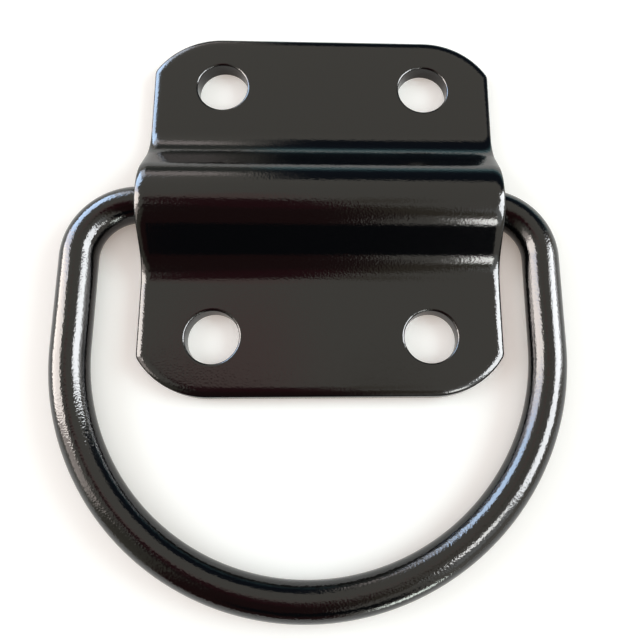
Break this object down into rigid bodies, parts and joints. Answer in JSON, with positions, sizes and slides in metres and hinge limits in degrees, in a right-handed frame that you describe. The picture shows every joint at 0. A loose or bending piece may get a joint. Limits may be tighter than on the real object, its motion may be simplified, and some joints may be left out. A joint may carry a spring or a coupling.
{
  "type": "bolt-on d ring tie down",
  "caption": "Bolt-on D ring tie down: a pressed steel saddle plate with bolt holes traps the straight side of a folding ring of round bar, an anchor for straps and hooks.",
  "frame": {"origin": "middle of the four bolt holes, on the face of the plate that meets the mounting surface", "axes": "+Z away from the mounting surface, X along the ring's straight bar, and the ring lies flat towards -Y at rest"},
  "size_m": [0.1277, 0.1516, 0.015],
  "materials": {
    "powder_coat": "semi-gloss black powder coat with a fine orange peel"
  },
  "bodies": {
    "saddle": {"saddle_plate": "powder_coat"},
    "ring": {"d_ring": "powder_coat"}
  },
  "joints": [
    {"name": "ring_swing", "type": "hinge", "parent": "saddle", "child": "ring", "pos_m": [0, 0, 0.00475], "axis": [-1, 0, 0], "range_deg": [0, 180]}
  ]
}
